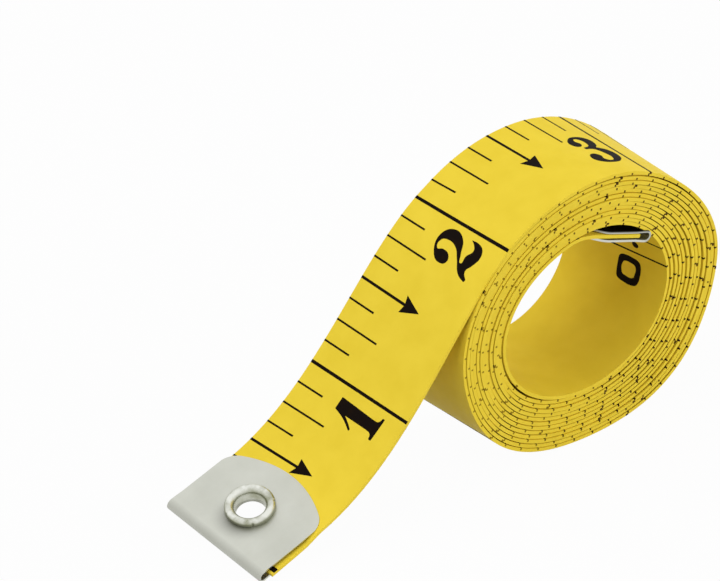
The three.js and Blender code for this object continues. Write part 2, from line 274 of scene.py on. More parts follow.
# Printed figures: bold old-style numerals in black ink, one before each inch
# line of the outer face, and a bar for zero. They are drawn as outlines of
# (along, from the ticked edge) in mm; "s" is a point on a round and "c" a corner.
INCH = 25.4
INK_HEIGHT = 0.02
INK_SINK = 0.006
INK_STEP = 0.5
ROUND_STEPS = 6
OUTER_FACE, OTHER_FACE = 1.0, -1.0
NUMERALS = {
    0: ["c-1.1,0.0 c-0.4,0.0 c-0.4,18.0 c-1.1,18.0"],
    1: ["c-1.81,7.37 c-3.55,7.34 s-4.1,9.3 c-4.99,11.04 c-4.69,11.11 s-4.1,10.2 c-3.62,9.3"
        " c-3.52,13.2 s-3.7,14.05 c-4.37,14.31 c-4.36,14.72 c-1.03,14.85 c-1.04,14.52"
        " s-1.75,14.2 c-1.9,13.5"],
    2: ["s-2.64,7.27 s-1.10,8.7 s-1.55,10.85 s-3.37,12.03 s-4.20,12.7 s-3.10,12.85 s-2.00,13.4"
        " s-1.45,13.0 c-1.00,12.19 s-0.90,13.4 s-1.30,14.5 s-2.30,14.95 s-3.60,14.55"
        " s-4.70,14.05 c-5.55,14.85 c-5.90,14.72 s-5.48,13.3 s-4.00,11.85 s-2.90,10.6"
        " s-2.65,8.8 s-3.20,7.85 s-4.25,8.05 s-3.95,9.1 s-4.20,10.3 s-5.10,10.65 s-5.70,9.6"
        " s-5.10,8.15"],
    3: ["s-5.84,8.73 s-5.32,7.39 s-3.65,6.76 s-1.87,7.70 s-2.00,9.39 c-2.76,10.22 s-1.45,11.09"
        " s-1.00,12.74 s-2.04,14.34 s-3.72,14.80 s-5.44,14.13 s-5.93,12.85 s-5.01,11.86"
        " s-4.14,12.63 s-4.35,13.62 s-3.59,14.23 s-2.77,13.51 s-2.95,11.82 s-3.58,10.73"
        " c-4.76,10.48 c-4.79,10.01 s-3.68,9.70 s-3.30,8.73 s-3.56,7.70 s-4.21,7.39"
        " s-4.61,8.00 s-4.30,8.93 s-5.11,9.60"],
    4: ["c-1.85,7.3 c-1.85,12.0 c-1.0,12.0 c-1.0,12.75 c-1.85,12.75 c-1.85,13.9 s-1.6,14.35"
        " c-0.95,14.5 c-0.95,14.85 c-4.45,14.85 c-4.45,14.5 s-3.75,14.35 c-3.5,13.9 c-3.5,12.75"
        " c-5.75,12.75 c-5.75,12.0 c-2.7,7.3",
        "c-3.5,9.6 c-3.5,12.0 c-5.0,12.0"],
    5: ["c-4.95,7.45 s-3.4,7.85 c-1.5,7.3 s-1.75,8.7 s-3.0,9.25 c-4.45,8.95 c-4.6,10.6"
        " s-3.4,10.1 s-1.7,10.7 s-0.95,12.3 s-1.75,14.2 s-3.5,14.85 s-5.2,14.2 s-5.6,13.0"
        " s-4.75,12.1 s-3.95,12.8 s-4.15,13.7 s-3.5,14.3 s-2.75,13.4 s-2.7,11.5 s-3.5,10.65"
        " s-4.2,10.9 c-4.55,11.35 c-5.1,11.2"],
    6: ["s-1.15,8.9 s-1.5,7.8 s-2.9,7.2 s-4.9,8.5 s-5.75,11.2 s-5.0,13.8 s-3.4,14.9 s-1.7,14.2"
        " s-0.95,12.4 s-1.6,10.7 s-3.0,10.05 c-3.95,10.5 s-3.75,8.7 s-2.95,7.7 s-2.4,8.1"
        " s-2.5,9.0 s-1.8,9.6",
        "s-3.3,10.7 s-2.7,11.5 s-2.7,13.4 s-3.3,14.3 s-3.95,13.4 s-4.0,11.6"],
    7: ["c-5.35,9.7 s-5.2,8.2 c-4.9,7.2 s-3.6,7.6 s-2.3,7.85 c-0.95,7.25 s-1.6,9.6 s-2.5,11.8"
        " s-2.55,13.9 s-3.3,14.9 s-4.2,14.1 s-3.9,12.3 s-2.7,10.2 c-1.75,8.75 s-2.9,9.1"
        " s-4.1,8.6 s-4.9,9.0"],
}
ARROWHEAD = ["c0.0,11.15 c1.24,8.1 c0.2,8.4 c-0.2,8.4 c-1.24,8.1"]


def read_outline(words):
    """The (round, along, from the ticked edge) points of one outline."""
    return [(word[0] == "s", *(float(n) for n in word[1:].split(","))) for word in words.split()]


def as_mesh(thing):
    """A plain mesh of an object as its curve or its modifiers make it."""
    worked = thing.evaluated_get(bpy.context.evaluated_depsgraph_get())
    return bpy.data.meshes.new_from_object(worked)


def filled(loops):
    """Flat mesh of closed outlines; each loop is (round, x, y) points, holes included."""
    curve = bpy.data.curves.new("outline", "CURVE")
    curve.dimensions = "2D"
    curve.fill_mode = "BOTH"
    curve.resolution_u = ROUND_STEPS
    for loop in loops:
        spline = curve.splines.new("BEZIER")
        spline.bezier_points.add(len(loop) - 1)
        for point, (is_round, x, y) in zip(spline.bezier_points, loop):
            point.co = (x, y, 0.0)
            kind = "AUTO" if is_round else "VECTOR"
            point.handle_left_type = point.handle_right_type = kind
        spline.use_cyclic_u = True
    holder = bpy.data.objects.new("outline", curve)
    scene.collection.objects.link(holder)
    shape = bmesh.new()
    flat = as_mesh(holder)
    shape.from_mesh(flat)
    bpy.data.meshes.remove(flat)
    bpy.data.objects.remove(holder)
    bpy.data.curves.remove(curve)
    bmesh.ops.remove_doubles(shape, verts=shape.verts, dist=1e-4)
    return shape


def scored(shape, axis, step):
    """Cuts a flat mesh along even lines, so that it can follow a bend."""
    low = min(v.co[axis] for v in shape.verts)
    high = max(v.co[axis] for v in shape.verts)
    normal = Vector((0.0, 0.0, 0.0))
    normal[axis] = 1.0
    for i in range(ceil(low / step), ceil(high / step)):
        bmesh.ops.bisect_plane(
            shape, geom=shape.verts[:] + shape.edges[:] + shape.faces[:],
            dist=1e-5, plane_co=normal * (i * step), plane_no=normal)


def inked(loops, face=OUTER_FACE):
    """A thin slab of ink of these outlines on one face of the flat tape, in mm."""
    shape = filled(loops)
    scored(shape, 0, INK_STEP)
    rim = [edge for edge in shape.edges if edge.is_boundary]
    under = {}
    for v in shape.verts[:]:
        under[v] = shape.verts.new((v.co.x, v.co.y, face * (TAPE_THICKNESS / 2 - INK_SINK)))
        v.co.z = face * (TAPE_THICKNESS / 2 + INK_HEIGHT)
    for top in shape.faces[:]:
        shape.faces.new([under[v] for v in top.verts])
    for edge in rim:
        a, b = edge.verts
        shape.faces.new((a, b, under[b], under[a]))
    bmesh.ops.recalc_face_normals(shape, faces=shape.faces)
    return shape


def on_tape(words, reading):
    """Outlines measured from a reading and from the ticked edge, as places on the flat tape."""
    return [[(r, reading + a, TAPE_WIDTH / 2 - b) for r, a, b in read_outline(w)] for w in words]


def laid_flat(name, shapes):
    """Joins slabs in mm into one flat mesh object in metres, ready to be wound or placed."""
    joined = bpy.data.meshes.new(name)
    whole = bmesh.new()
    for shape in shapes:
        part = bpy.data.meshes.new("part")
        shape.to_mesh(part)
        whole.from_mesh(part)
        bpy.data.meshes.remove(part)
        shape.free()
    bmesh.ops.scale(whole, vec=(MM, MM, MM), verts=whole.verts)
    whole.to_mesh(joined)
    whole.free()
    blank = bpy.data.objects.new(name, joined)
    scene.collection.objects.link(blank)
    return blank


arrowhead = laid_flat("arrowhead", [inked(on_tape(ARROWHEAD, 0.0))])

# The scale: eighth-inch marks from the far edge of the outer face, longer at
# the quarters, an arrow at each half and a line right across at each inch. The
# other face has its own marks from the near edge, up to its zero line.
EIGHTH_MARK, QUARTER_MARK, HALF_MARK = 4.7, 7.6, 8.45
THIN_LINE, ARROW_LINE, INCH_LINE = 0.26, 0.38, 0.45
BLEED_OUT, BLEED_CLEAN, BLEED_DEPTH = 0.003, -0.004, 0.3
PRINT_LEAN, ROLL_PRINT_LEAN = 0.04, 0.014
FAR, NEAR = 1.0, -1.0
# Face, edge, first mark and spacing in inches, length of the mark, width of its line.
SCALE_ROWS = (
    (OUTER_FACE, FAR, 1 / 8, 1 / 4, EIGHTH_MARK, THIN_LINE),
    (OUTER_FACE, FAR, 1 / 4, 1 / 2, QUARTER_MARK, THIN_LINE),
    (OUTER_FACE, FAR, 1 / 2, 1, HALF_MARK, ARROW_LINE),
    (OUTER_FACE, FAR, 0, 1, TAPE_WIDTH / 2, INCH_LINE),
    (OUTER_FACE, NEAR, 0, 1, TAPE_WIDTH / 2, INCH_LINE),
    (OTHER_FACE, NEAR, 1 / 8, 1 / 4, EIGHTH_MARK, THIN_LINE),
    (OTHER_FACE, NEAR, 1 / 4, 1 / 2, QUARTER_MARK, THIN_LINE),
    (OTHER_FACE, NEAR, 1 / 2, 1, HALF_MARK, THIN_LINE),
    (OTHER_FACE, NEAR, 0, 1, TAPE_WIDTH / 2, THIN_LINE),
    (OTHER_FACE, FAR, 0, 1, TAPE_WIDTH / 2, THIN_LINE),
)


def feed(node, feeds):
    """Links or sets a node's inputs, by name or place."""
    for name, value in feeds.items():
        if isinstance(value, bpy.types.NodeSocket):
            node.id_data.links.new(value, node.inputs[name])
        else:
            node.inputs[name].default_value = value


def add(tree, kind, feeds=None, **settings):
    """One node, with its settings and what is fed into its inputs."""
    made = tree.nodes.new(kind)
    for name, value in settings.items():
        setattr(made, name, value)
    feed(made, feeds or {})
    return made


def reckon(operation, *terms):
    """A sum of sockets and plain numbers, in the tree that the sockets belong to."""
    tree = next(term.id_data for term in terms if isinstance(term, bpy.types.NodeSocket))
    return add(tree, "ShaderNodeMath", dict(enumerate(terms)), operation=operation).outputs[0]


def plus(a, b):
    return reckon("ADD", a, b)


def minus(a, b):
    return reckon("SUBTRACT", a, b)


def times(a, b):
    return reckon("MULTIPLY", a, b)


def over(a, b):
    return reckon("DIVIDE", a, b)


def vector(x=0.0, y=0.0, z=0.0):
    tree = next(term.id_data for term in (x, y, z) if isinstance(term, bpy.types.NodeSocket))
    return add(tree, "ShaderNodeCombineXYZ", {"X": x, "Y": y, "Z": z}).outputs[0]


def moved(geometry, x=0.0, y=0.0, z=0.0):
    feeds = {"Geometry": geometry, "Translation": vector(x, y, z)}
    return add(geometry.id_data, "GeometryNodeTransform", feeds).outputs[0]


def block(x, y, z, **more):
    size = vector(x, y, z)
    return add(size.id_data, "GeometryNodeMeshCube", {"Size": size, **more}).outputs[0]


def with_inputs(tree, kind, *names):
    for name in names:
        tree.interface.new_socket(name=name, in_out="INPUT", socket_type="NodeSocket" + kind)


MARK_SIZES = ("From", "To", "First", "Spacing", "Length", "Line", "Lean", "Edge", "Face")
TAPE_SIZES = ("Width", "Thickness", "Ink", "Sink", "Bleed Out", "Bleed Depth")
mark_row = bpy.data.node_groups.new("mark_row", "GeometryNodeTree")
with_inputs(mark_row, "Geometry", "Head")
with_inputs(mark_row, "Float", *MARK_SIZES, *TAPE_SIZES)
mark_row.interface.new_socket(name="Marks", in_out="OUTPUT", socket_type="NodeSocketGeometry")
given = mark_row.nodes.new("NodeGroupInput").outputs
lowest = reckon("CEIL", over(minus(given["From"], given["First"]), given["Spacing"]))
highest = reckon("FLOOR", over(minus(given["To"], given["First"]), given["Spacing"]))
places = add(mark_row, "GeometryNodeMeshLine", {
    "Count": reckon("MAXIMUM", plus(minus(highest, lowest), 1.0), 0.0),
    "Start Location": vector(x=plus(times(lowest, given["Spacing"]), given["First"])),
    "Offset": vector(x=given["Spacing"]),
}, mode="OFFSET", count_mode="TOTAL").outputs[0]
half_width = times(given["Width"], 0.5)
half_thick = times(given["Thickness"], 0.5)
line_y = minus(half_width, times(given["Length"], 0.5))
line_z = plus(half_thick, times(minus(given["Ink"], given["Sink"]), 0.5))
line = moved(
    block(given["Line"], given["Length"], plus(given["Ink"], given["Sink"])),
    y=times(line_y, given["Edge"]), z=times(line_z, given["Face"]))
bleed_y = plus(half_width, times(minus(given["Bleed Out"], given["Sink"]), 0.5))
bleed_z = minus(plus(half_thick, given["Ink"]), times(given["Bleed Depth"], 0.5))
bleed = moved(
    block(given["Line"], plus(given["Bleed Out"], given["Sink"]), given["Bleed Depth"]),
    y=times(bleed_y, given["Edge"]), z=times(bleed_z, given["Face"]))
bleed = add(mark_row, "GeometryNodeStoreNamedAttribute", {
    "Geometry": bleed, "Name": "soaked", "Value": 1.0,
}, data_type="FLOAT", domain="POINT").outputs[0]
one_mark = mark_row.nodes.new("GeometryNodeJoinGeometry")
for piece in (line, bleed, given["Head"]):
    mark_row.links.new(piece, one_mark.inputs[0])
from_middle = mark_row.nodes.new("GeometryNodeInputPosition").outputs[0]
from_middle = add(mark_row, "ShaderNodeSeparateXYZ", {0: from_middle}).outputs["Y"]
askew = times(times(from_middle, given["Lean"]), times(given["Face"], -1.0))
one_mark = add(mark_row, "GeometryNodeSetPosition", {
    "Geometry": one_mark.outputs[0], "Offset": vector(x=askew),
}).outputs[0]
row = add(mark_row, "GeometryNodeInstanceOnPoints", {"Points": places, "Instance": one_mark})
row = add(mark_row, "GeometryNodeRealizeInstances", {"Geometry": row.outputs[0]})
mark_row.links.new(row.outputs[0], mark_row.nodes.new("NodeGroupOutput").inputs[0])

# The printed tape: glass-fibre cloth coated with yellow vinyl on both faces,
# slit to width and printed flat. It is laid out flat by its scale reading and
# then carried along the way above: x follows the way, y goes across, z stands up.
MESH_STEP = 0.7
EYELET_PLACE = Vector((6.88, 0.63, 0.0))
EYELET_HOLE = 2.2
PUNCH_SIDES, PUNCH_DEPTH = 48, 4.0
CLEAR_OF_HOLE = 3.0
ROUNDING = 1e-6

printed_tape = bpy.data.node_groups.new("printed_tape", "GeometryNodeTree")
with_inputs(printed_tape, "Geometry", "Figures")
with_inputs(printed_tape, "Object", "Way", "Arrowhead")
with_inputs(printed_tape, "Float", "From", "To", "Step", "Way Starts", "Other Zero", *TAPE_SIZES)
with_inputs(printed_tape, "Float", "Print Lean", "Hole At", "Hole Across", "Hole Radius")
with_inputs(printed_tape, "Material", "Cloth", "Printing Ink")
printed_tape.interface.new_socket(name="Tape", in_out="OUTPUT", socket_type="NodeSocketGeometry")
given = printed_tape.nodes.new("NodeGroupInput").outputs

length = minus(given["To"], given["From"])
steps = plus(reckon("CEIL", over(length, given["Step"])), 1.0)
strip = block(length, given["Width"], given["Thickness"], **{"Vertices X": steps})
strip = moved(strip, x=times(plus(given["To"], given["From"]), 0.5))
punch = add(printed_tape, "GeometryNodeMeshCylinder", {
    "Vertices": PUNCH_SIDES, "Radius": given["Hole Radius"], "Depth": PUNCH_DEPTH * MM,
}).outputs["Mesh"]
punch = moved(punch, x=given["Hole At"], y=given["Hole Across"])
strip = add(printed_tape, "GeometryNodeMeshBoolean", {
    0: strip, 1: punch,
}, operation="DIFFERENCE").outputs[0]

marks = printed_tape.nodes.new("GeometryNodeJoinGeometry")
printed_tape.links.new(given["Figures"], marks.inputs[0])
head = add(printed_tape, "GeometryNodeObjectInfo", {"Object": given["Arrowhead"]})
other_start = reckon("MAXIMUM", given["From"], plus(given["Hole At"], CLEAR_OF_HOLE * MM))
other_end = reckon("MINIMUM", given["To"], plus(given["Other Zero"], ROUNDING))
for face, edge, first, spacing, mark, stroke in SCALE_ROWS:
    begin = first * INCH * MM
    feeds = {name: given[name] for name in ("From", "To", *TAPE_SIZES)}
    feeds.update({"First": begin, "Spacing": spacing * INCH * MM})
    feeds.update({"Length": mark * MM, "Line": stroke * MM})
    feeds.update({"Edge": edge, "Face": face, "Lean": given["Print Lean"]})
    if face == OTHER_FACE:
        feeds.update({"From": other_start, "To": other_end})
        feeds["First"] = minus(given["Other Zero"], begin)
    if stroke == ARROW_LINE:
        feeds["Head"] = head.outputs["Geometry"]
    if stroke == INCH_LINE:
        feeds["From"] = reckon("MAXIMUM", given["From"], INCH / 2 * MM)
    row = add(printed_tape, "GeometryNodeGroup", feeds, node_tree=mark_row)
    printed_tape.links.new(row.outputs[0], marks.inputs[0])
flat_place = printed_tape.nodes.new("GeometryNodeInputPosition").outputs[0]
flat = add(printed_tape, "ShaderNodeSeparateXYZ", {0: flat_place}).outputs
ink = add(printed_tape, "GeometryNodeStoreNamedAttribute", {
    "Geometry": marks.outputs[0], "Name": "ink", "Value": True,
}, data_type="BOOLEAN", domain="FACE").outputs[0]

laid = printed_tape.nodes.new("GeometryNodeJoinGeometry")
for piece in (ink, strip):
    printed_tape.links.new(piece, laid.inputs[0])
whole = add(printed_tape, "GeometryNodeRealizeInstances", {"Geometry": laid.outputs[0]}).outputs[0]
whole = add(printed_tape, "GeometryNodeStoreNamedAttribute", {
    "Geometry": whole, "Name": "flat", "Value": flat_place,
}, data_type="FLOAT_VECTOR", domain="POINT").outputs[0]
route = add(printed_tape, "GeometryNodeObjectInfo", {"Object": given["Way"]}).outputs["Geometry"]
route = add(printed_tape, "GeometryNodeMeshToCurve", {"Mesh": route}).outputs[0]
route_across = add(printed_tape, "GeometryNodeInputNamedAttribute", {
    "Name": "across",
}, data_type="FLOAT_VECTOR").outputs[0]
here = add(printed_tape, "GeometryNodeSampleCurve", {
    "Curves": route, "Value": route_across, "Length": minus(flat["X"], given["Way Starts"]),
}, mode="LENGTH", data_type="FLOAT_VECTOR").outputs


def combine(operation, a, b=(0.0, 0.0, 0.0), **more):
    feeds = {0: a, 1: b, **more}
    return add(a.id_data, "ShaderNodeVectorMath", feeds, operation=operation).outputs[0]


upright = combine("NORMALIZE", combine("CROSS_PRODUCT", here["Tangent"], here["Value"]))
sideways = combine("CROSS_PRODUCT", upright, here["Tangent"])
place = combine("ADD", here["Position"], combine("SCALE", sideways, Scale=flat["Y"]))
place = combine("ADD", place, combine("SCALE", upright, Scale=flat["Z"]))
whole = add(printed_tape, "GeometryNodeSetPosition", {
    "Geometry": whole, "Position": place,
}).outputs[0]
whole = add(printed_tape, "GeometryNodeSetMaterial", {
    "Geometry": whole, "Material": given["Cloth"],
}).outputs[0]
is_ink = add(printed_tape, "GeometryNodeInputNamedAttribute", {
    "Name": "ink",
}, data_type="BOOLEAN").outputs[0]
whole = add(printed_tape, "GeometryNodeSetMaterial", {
    "Geometry": whole, "Selection": is_ink, "Material": given["Printing Ink"],
}).outputs[0]
printed_tape.links.new(whole, printed_tape.nodes.new("NodeGroupOutput").inputs[0])


def finish_of(name):
    """A new material with its shader, ready for nodes."""
    material = bpy.data.materials.new(name)
    material.use_nodes = True
    return material, material.node_tree, material.node_tree.nodes["Principled BSDF"]


def carried(tree, name):
    """What a mesh carries under this name."""
    return add(tree, "ShaderNodeAttribute", attribute_name=name).outputs


def in_place(tree):
    return add(tree, "ShaderNodeTexCoord").outputs["Object"]


def noise(tree, place, scale, detail=3.0):
    feeds = {"Vector": place, "Scale": scale, "Detail": detail}
    return add(tree, "ShaderNodeTexNoise", feeds).outputs["Fac"]


def ramp(tree, share, low, high, start=0.3, end=0.7):
    """A colour that follows a pattern between two tones."""
    made = add(tree, "ShaderNodeValToRGB", {"Fac": share})
    made.color_ramp.elements[0].position = start
    made.color_ramp.elements[0].color = (*low, 1.0)
    made.color_ramp.elements[1].position = end
    made.color_ramp.elements[1].color = (*high, 1.0)
    return made.outputs["Color"]


def spread(tree, share, low, high):
    """A number that follows a pattern between two levels."""
    feeds = {"Value": share, "To Min": low, "To Max": high}
    return add(tree, "ShaderNodeMapRange", feeds).outputs[0]


def tinted(tree, share, colour, tint, how="MIX"):
    feeds = {0: share, 6: colour, 7: tint}
    return add(tree, "ShaderNodeMix", feeds, data_type="RGBA", blend_type=how).outputs[2]


def raised(tree, height, strength, relief):
    feeds = {"Height": height, "Strength": strength, "Distance": relief * MM}
    return add(tree, "ShaderNodeBump", feeds).outputs[0]


VINYL_DEEP = (0.84, 0.625, 0.038)
VINYL_PALE = (0.89, 0.672, 0.048)
WEAVE_SCALE = 320.0
vinyl, tree, shader = finish_of("yellow_vinyl_cloth")
on_strip = carried(tree, "flat")["Vector"]
mottle = noise(tree, on_strip, scale=260.0, detail=4.0)
grain = noise(tree, on_strip, scale=1500.0)
warp, weft = (
    add(tree, "ShaderNodeTexWave", {
        "Vector": on_strip, "Scale": WEAVE_SCALE,
    }, bands_direction=direction).outputs["Fac"]
    for direction in "XY"
)
feed(shader, {
    "Base Color": ramp(tree, mottle, VINYL_DEEP, VINYL_PALE),
    "Roughness": spread(tree, grain, low=0.5, high=0.66),
    "Normal": raised(tree, plus(times(warp, weft), grain), strength=0.12, relief=0.02),
    "Specular IOR Level": 0.2,
})

INK_DARK = (0.004, 0.0018, 0.001)
INK_SOAKED = (0.07, 0.03, 0.004)
INK_FAINT = (0.34, 0.22, 0.012, 1.0)
SOAKED_SHARE, COVER_SHARE = 0.8, 0.2
FAINT_FROM_X, FAINT_TO_X = 0.002, -0.014
printing_ink, tree, shader = finish_of("black_printing_ink")
soaked = carried(tree, "soaked")["Fac"]
cover = noise(tree, carried(tree, "flat")["Vector"], scale=900.0, detail=5.0)
thinness = plus(times(soaked, SOAKED_SHARE), times(cover, COVER_SHARE))
inky = ramp(tree, thinness, INK_DARK, INK_SOAKED, start=0.1, end=0.9)
# Ink that has soaked into the cut edge is fainter towards the left of the roll.
faint = add(tree, "ShaderNodeMapRange", {
    "Value": add(tree, "ShaderNodeSeparateXYZ", {0: in_place(tree)}).outputs["X"],
    "From Min": FAINT_FROM_X, "From Max": FAINT_TO_X,
}).outputs[0]
faint = times(times(faint, soaked), spread(tree, cover, low=0.4, high=1.3))
feed(shader, {
    "Base Color": tinted(tree, faint, inky, INK_FAINT),
    "Roughness": spread(tree, cover, low=0.45, high=0.65),
    "Normal": raised(tree, cover, strength=0.1, relief=0.01),
    "Specular IOR Level": 0.05,
})

OTHER_ZERO_TURN = 12.318
OTHER_ZERO = readings[leaving_index + round(OTHER_ZERO_TURN / TURNS * roll_steps)]
OTHER_NOUGHT = [
    "s1.35,9.75 s1.0,10.5 c1.0,12.6 s1.35,13.25 s2.05,13.5 c3.9,13.5 s4.65,13.2 s4.95,12.5"
    " c4.95,10.5 s4.65,9.75 s3.9,9.5 c2.05,9.5",
    "s2.2,10.4 s1.95,10.75 c1.95,12.2 s2.2,12.55 c3.75,12.55 s4.0,12.2 c4.0,10.75 s3.75,10.4",
]
OTHER_DOT = ["s-1.5,12.15 s-0.95,12.7 s-1.5,13.25 s-2.05,12.7"]
SLIT_EDGE_ANGLE = radians(40)


def worked_in(piece):
    """Makes what the modifiers give the object's own plain mesh."""
    made = as_mesh(piece)
    piece.modifiers.clear()
    piece.data = made
    made.name = piece.name
    return made


def wound(name, begin, end, figures, lean, bleed_out):
    """One stretch of the tape between two readings, printed and carried along the way."""
    piece = laid_flat(name, figures)
    modifier = piece.modifiers.new("printed_tape", "NODES")
    modifier.node_group = printed_tape
    sizes = {
        "From": begin, "To": end, "Step": MESH_STEP,
        "Way Starts": readings[0], "Other Zero": OTHER_ZERO,
        "Width": TAPE_WIDTH, "Thickness": TAPE_THICKNESS, "Ink": INK_HEIGHT, "Sink": INK_SINK,
        "Bleed Out": bleed_out, "Bleed Depth": BLEED_DEPTH,
        "Hole At": EYELET_PLACE.x - ZERO_LINE,
        "Hole Across": EYELET_PLACE.y - TAPE_SWING * EYELET_PLACE.x,
        "Hole Radius": EYELET_HOLE,
    }
    values = {size: value * MM for size, value in sizes.items()}
    values.update({"Way": tape_way, "Arrowhead": arrowhead, "Print Lean": lean})
    values.update({"Cloth": vinyl, "Printing Ink": printing_ink})
    for item in printed_tape.interface.items_tree:
        if item.item_type == "SOCKET" and item.in_out == "INPUT" and item.name in values:
            modifier[item.identifier] = values[item.name]
    made = worked_in(piece)
    made.shade_smooth()
    made.set_sharp_from_angle(angle=SLIT_EDGE_ANGLE)
    return piece


LEADER_JOIN = 1.31 * INCH
end_figures = [inked(on_tape(NUMERALS[n], n * INCH)) for n in (0, 1)]
tape_end = wound(
    "tape_end", readings[0], LEADER_JOIN, end_figures, PRINT_LEAN, BLEED_CLEAN)
slope_figures = [inked(on_tape(NUMERALS[2], 2 * INCH))]
tape_leader = wound(
    "tape_slope", LEADER_JOIN, reading_at_leaving, slope_figures, PRINT_LEAN, BLEED_CLEAN)
roll_figures = [inked(on_tape(NUMERALS[n], n * INCH)) for n in range(3, 8)]
roll_figures += [inked(on_tape(w, OTHER_ZERO), OTHER_FACE) for w in (OTHER_NOUGHT, OTHER_DOT)]
tape_roll = wound(
    "tape_roll", reading_at_leaving, reading_at_tail, roll_figures, ROLL_PRINT_LEAN, BLEED_OUT)
tape_tail = wound(
    "tape_inner_end", reading_at_tail, reading_at_end, [], ROLL_PRINT_LEAN, BLEED_CLEAN)
bpy.data.objects.remove(tape_way)
bpy.data.objects.remove(arrowhead)

for piece, node, start, end, held in (
    (tape_end, "tape_start", readings[0], LEADER_JOIN, "hung"),
    (tape_leader, "tape_leader", LEADER_JOIN, reading_at_leaving, "hung"),
    (tape_roll, "tape_coil", reading_at_leaving, reading_at_tail, "folded"),
    (tape_tail, "tape_tail", reading_at_tail, reading_at_end, "hung"),
):
    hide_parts(node)

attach(tape_roll, "roll")
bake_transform(tape_leader)
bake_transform(tape_end)
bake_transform(tape_tail)

# Front tip: a blank of thin nickelled steel sheet with bowed ends, folded in
# two over the end of the tape, its fold left a little fat, and pressed in
# round the eyelet that holds it.
SHEET = 0.3
TIP_WIDTH = 17.3
TIP_SIDE, TIP_BOW, TIP_CORNER = 10.9, 3.0, 1.4
LEAF_HALF, FOLD_HALF, FOLD_TAPER = 0.75, 0.87, 2.2
LEAF_MIDDLE = 0.35
DIMPLE, DIMPLE_FLOOR, DIMPLE_RIM = 0.14, 3.2, 6.0
BROKEN_EDGE, BROKEN_EDGE_ANGLE = 0.05, radians(50)
SHEET_EDGE_ANGLE = radians(35)
BOW_STEPS, HOLE_STEPS = 48, 24
SCORE_ALONG, SCORE_ACROSS = 0.3, 0.5

STEEL_DEEP = (0.60, 0.61, 0.545)
STEEL_PALE = (0.66, 0.67, 0.605)
BRUSH_LINES = (900.0, 6000.0, 900.0)
# Painted shade: a darker band along the fold of each tip stands in for the darker surroundings
# that the curved fold reflects.
FOLD_PAINTED_SHADE, AWAY_FROM_FOLD_SHADE = (0.76, 0.76, 0.75), (1.0, 1.0, 1.0)
FOLD_SHADE_MIDDLE = 0.15
# Painted shade: the upper face of the rear tip's upper leaf is made nearly black, standing in for
# the shade in the narrow gap under the turn above it.
PAINTED_SHADE_TONE, SHADED_FACE_SKIN = (0.02, 0.015, 0.01, 1.0), 0.03
# Painted shade on the front tip beside the eyelet stands in for the ring's shadow and reflection
# on the leaf. It is darkest at one place beside the ring and fades out over a reach in mm.
EYELET_PAINTED_SHADE, EYELET_SHADE_PLACE, EYELET_SHADE_REACH = 0.8, Vector((5.1, 0.05)), 4.2
nickelled, tree, shader = finish_of("satin_nickelled_sheet")
drawn = {"Vector": in_place(tree), "Scale": BRUSH_LINES}
brush = noise(tree, add(tree, "ShaderNodeMapping", drawn).outputs[0], scale=1.0, detail=4.0)
cloud = ramp(tree, noise(tree, in_place(tree), scale=220.0), STEEL_DEEP, STEEL_PALE)
# The painted shade along the fold is multiplied into the steel's cloudy tone.
from_fold_shade = reckon("ABSOLUTE", minus(carried(tree, "from_fold")["Fac"], FOLD_SHADE_MIDDLE))
fold_shade_tone = ramp(tree, from_fold_shade, FOLD_PAINTED_SHADE, AWAY_FROM_FOLD_SHADE, start=0.1, end=1.0)
cloud_and_fold_shade = tinted(tree, 1.0, cloud, fold_shade_tone, "MULTIPLY")
feed(shader, {
    # The painted shade that each tip's mesh carries darkens the base colour towards near black.
    "Base Color": tinted(tree, carried(tree, "blackened")["Fac"], cloud_and_fold_shade, PAINTED_SHADE_TONE),
    "Roughness": spread(tree, brush, low=0.34, high=0.5),
    "Normal": raised(tree, brush, strength=0.08, relief=0.02),
    "Metallic": 1.0,
})


def leaf_end(y, side, bow):
    """How far a leaf reaches from the fold, at a place across it."""
    q = 2 * abs(y) / TIP_WIDTH
    reach = side + bow * (1.0 - q * q)
    corner_from = 1.0 - 2 * TIP_CORNER / TIP_WIDTH
    if q > corner_from:
        p = min(1.0, (q - corner_from) / (1.0 - corner_from))
        reach -= TIP_CORNER * (1.0 - sqrt(1.0 - p * p))
    return reach


